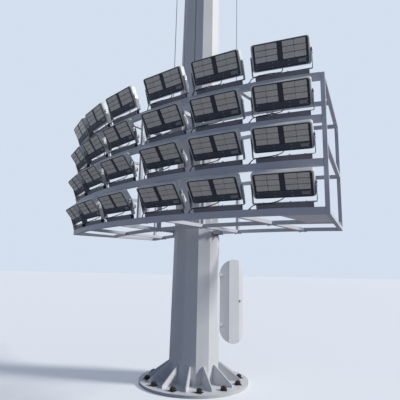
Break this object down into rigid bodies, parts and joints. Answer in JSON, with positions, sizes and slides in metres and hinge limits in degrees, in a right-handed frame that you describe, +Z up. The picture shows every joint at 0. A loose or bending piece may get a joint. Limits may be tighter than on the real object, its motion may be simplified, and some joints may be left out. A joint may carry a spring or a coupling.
{
  "type": "high mast floodlight tower",
  "caption": "Tapered twelve-sided mast whose curved rack of aimed floodlights is winched up and down on ropes, with a hinged service door at the foot.",
  "frame": {"origin": "centre of the base flange's lower face, at ground level", "axes": "+Z up along the mast; -Y is where the bowed lamp rack looks; +X is to the right of a person facing the lamps; the service door is on the +Y side"},
  "size_m": [5.0026, 2.3985, 26.99],
  "materials": {
    "mast_paint": "satin pale grey coating over galvanized steel",
    "rack_paint": "satin pale grey coating",
    "fastener_steel": "dark, oiled and lightly rusted",
    "zinc_steel": "zinc plated",
    "winch_paint": "gloss machine enamel",
    "rope_wire": "stranded wire rope, lightly greased",
    "cable_rubber": "matt cable sheath",
    "roller_rubber": "matt",
    "box_grey": "powder coated",
    "yoke_grey": "powder coated",
    "lamp_dark": "fine textured powder coating on die cast aluminium",
    "lens_panel": "moulded optics behind clear covers"
  },
  "bodies": {
    "mast": {"base_flange": "mast_paint", "base_ribs": "mast_paint", "anchor_nuts": "fastener_steel", "mast_lower": "mast_paint", "mast_middle": "mast_paint", "mast_upper": "mast_paint", "door_frame": "mast_paint", "door_hinge_posts": "mast_paint", "winch_frame": "winch_paint", "winch_drum": "zinc_steel", "winch_gearbox": "winch_paint", "main_rope": "rope_wire", "head_frame": "mast_paint", "head_pulleys": "zinc_steel", "head_hood": "mast_paint", "lightning_rod": "zinc_steel", "hoist_ropes": "rope_wire", "supply_cable": "cable_rubber"},
    "carriage": {"row_beam_1": "rack_paint", "row_beam_2": "rack_paint", "row_beam_3": "rack_paint", "row_beam_4": "rack_paint", "front_posts": "rack_paint", "mid_arcs": "rack_paint", "rear_arcs": "rack_paint", "end_frame_left": "rack_paint", "end_frame_right": "rack_paint", "mast_cage": "rack_paint", "roller_brackets": "rack_paint", "guide_rollers": "roller_rubber", "rope_anchors": "zinc_steel", "floor_plates": "rack_paint", "junction_box": "box_grey", "yokes_row_1": "yoke_grey", "lamp_housings_row_1": "lamp_dark", "yokes_row_2": "yoke_grey", "lamp_housings_row_2": "lamp_dark", "yokes_row_3": "yoke_grey", "lamp_housings_row_3": "lamp_dark", "yokes_row_4": "yoke_grey", "lamp_housings_row_4": "lamp_dark", "lamp_lenses": "lens_panel", "yoke_seats": "yoke_grey", "lead_glands": "cable_rubber", "lamp_leads": "cable_rubber"},
    "door": {"door_panel": "mast_paint", "door_hinge_leaves": "mast_paint", "door_lock": "zinc_steel"}
  },
  "joints": [
    {"name": "carriage_hoist", "type": "slide", "parent": "mast", "child": "carriage", "axis": [0, 0, 1], "range_m": [0, 20.6], "deforming": ["hoist_ropes", "supply_cable"]},
    {"name": "door_hinge", "type": "hinge", "parent": "mast", "child": "door", "pos_m": [0.2445, 0.2923, 1.185], "axis": [0, 0, 1], "range_deg": [-21, 109]}
  ]
}
